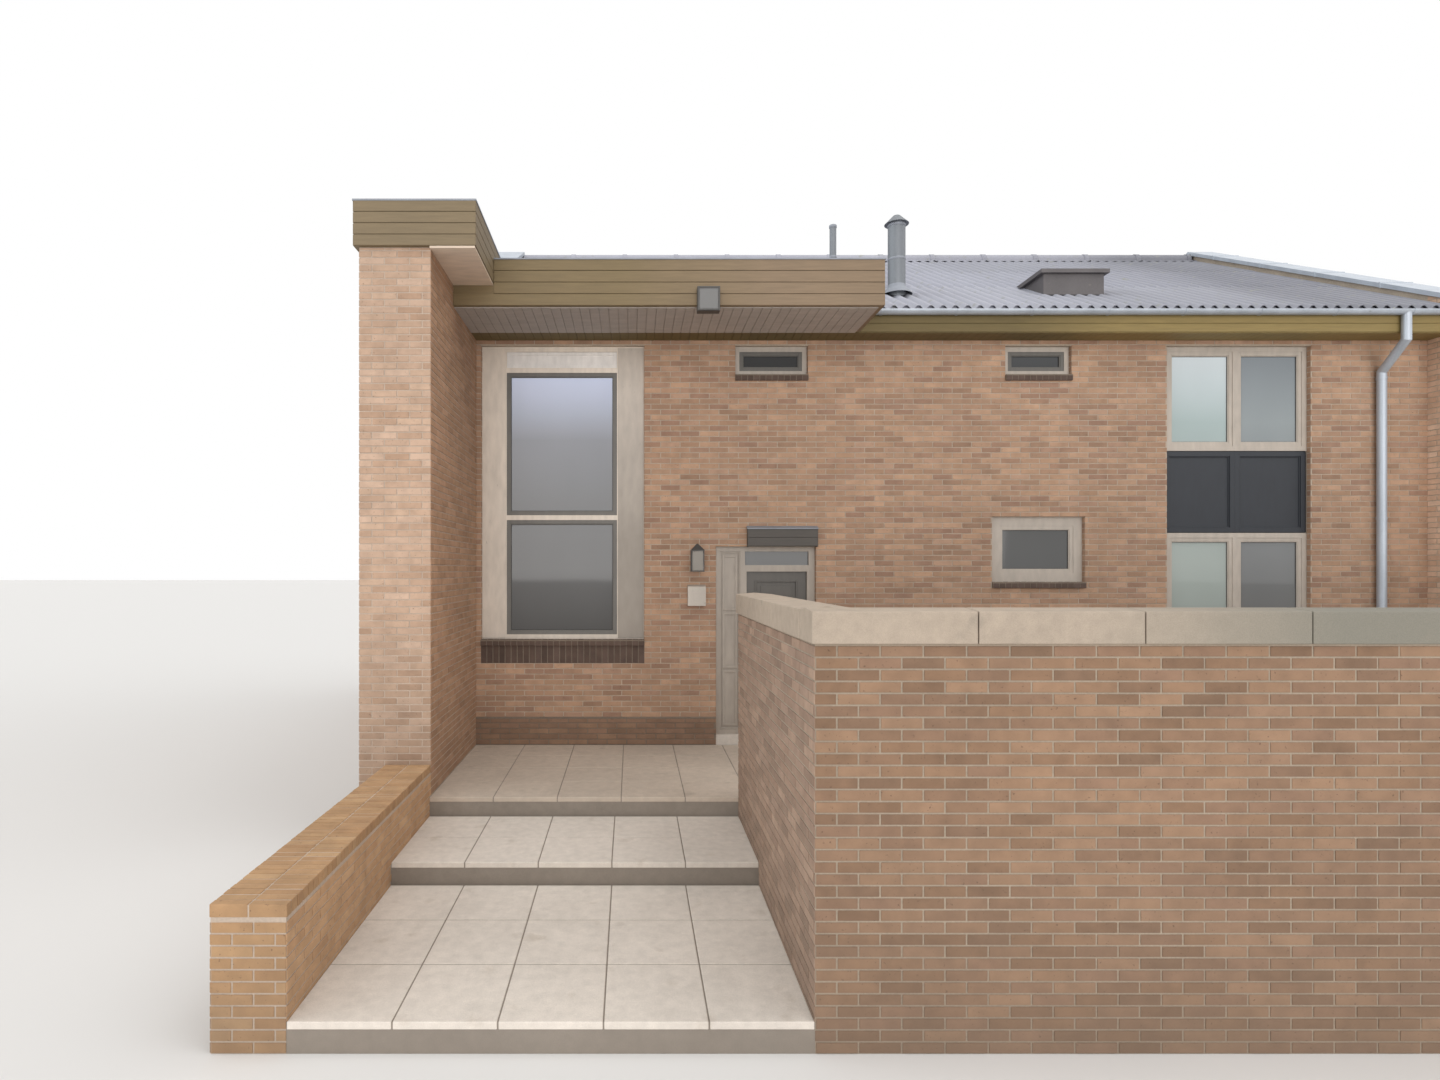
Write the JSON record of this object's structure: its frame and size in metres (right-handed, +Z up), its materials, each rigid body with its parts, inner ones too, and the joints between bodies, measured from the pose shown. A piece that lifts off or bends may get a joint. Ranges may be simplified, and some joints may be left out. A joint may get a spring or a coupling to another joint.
{
  "type": "brick terraced house",
  "caption": "Two-storey hollow brick terraced house with an opening front door, windows, sheeted gable roof, flat entrance canopy, stepped path and walled front garden.",
  "frame": {"origin": "centre of the bounding box's footprint, on the lowest ground", "axes": "+X to the right along the front seen from the street, +Y from the street to the rear, +Z up"},
  "size_m": [12.86, 14.315, 8.2823],
  "materials": {
    "brick": "rough",
    "pale_brick": "rough",
    "capping_brick": "rough",
    "plinth_brick": "rough",
    "sill": "rough",
    "concrete": "rough",
    "sheeting": "matte",
    "brown_timber": "painted",
    "joinery": "painted",
    "door_paint": "painted",
    "pane": "gloss",
    "zinc": "satin",
    "fittings": "satin",
    "dark_metal": "matte"
  },
  "bodies": {
    "house": {"left_party_wall": "pale_brick", "right_party_wall": "brick", "front_wall_stair_bay": "brick", "front_wall_over_door": "brick", "front_wall_kitchen_bay": "brick", "front_wall_window_bay": "brick", "rear_wall": "brick", "front_plinth": "plinth_brick", "ground_floor": "concrete", "upper_floor": "concrete", "entrance_landing": "concrete", "middle_step": "concrete", "lower_step": "concrete", "low_wall": "capping_brick", "low_wall_capping": "capping_brick", "garden_wall_front": "brick", "garden_wall_return": "brick", "garden_wall_side": "brick", "garden_coping": "concrete", "front_roof_slope": "sheeting", "rear_roof_slope": "sheeting", "ridge_capping": "sheeting", "front_eaves": "brown_timber", "rear_eaves": "brown_timber", "canopy_fascia": "brown_timber", "canopy_soffit": "brown_timber", "canopy_deck": "sheeting", "canopy_joists": "brown_timber", "front_gutter": "zinc", "rear_gutter": "zinc", "front_downpipe": "zinc", "rear_downpipe": "zinc", "fin_verge_box": "brown_timber", "fin_verge_soffit": "brown_timber", "left_party_coping": "zinc", "right_party_coping": "zinc", "tall_window_frame": "joinery", "tall_window_head_board": "joinery", "small_window_frames": "joinery", "stacked_window_frames": "joinery", "spandrel_panel": "door_paint", "front_window_glass": "pane", "rear_window_frames": "joinery", "rear_window_glass": "pane", "window_sills": "sill", "door_threshold": "concrete", "door_frame": "joinery", "door_transom_glass": "pane", "door_hood": "brown_timber", "roof_pipes": "dark_metal", "roof_cowl": "dark_metal", "wall_lantern": "dark_metal", "letter_box": "zinc", "canopy_floodlight": "dark_metal"},
    "door": {"entrance_door": "door_paint", "door_handle": "fittings", "door_hinges": "fittings"}
  },
  "joints": [
    {"name": "entrance_door_hinge", "type": "hinge", "parent": "house", "child": "door", "pos_m": [-1.594, -1.5325, 1.6], "axis": [0, 0, -1], "range_deg": [0, 90]}
  ]
}
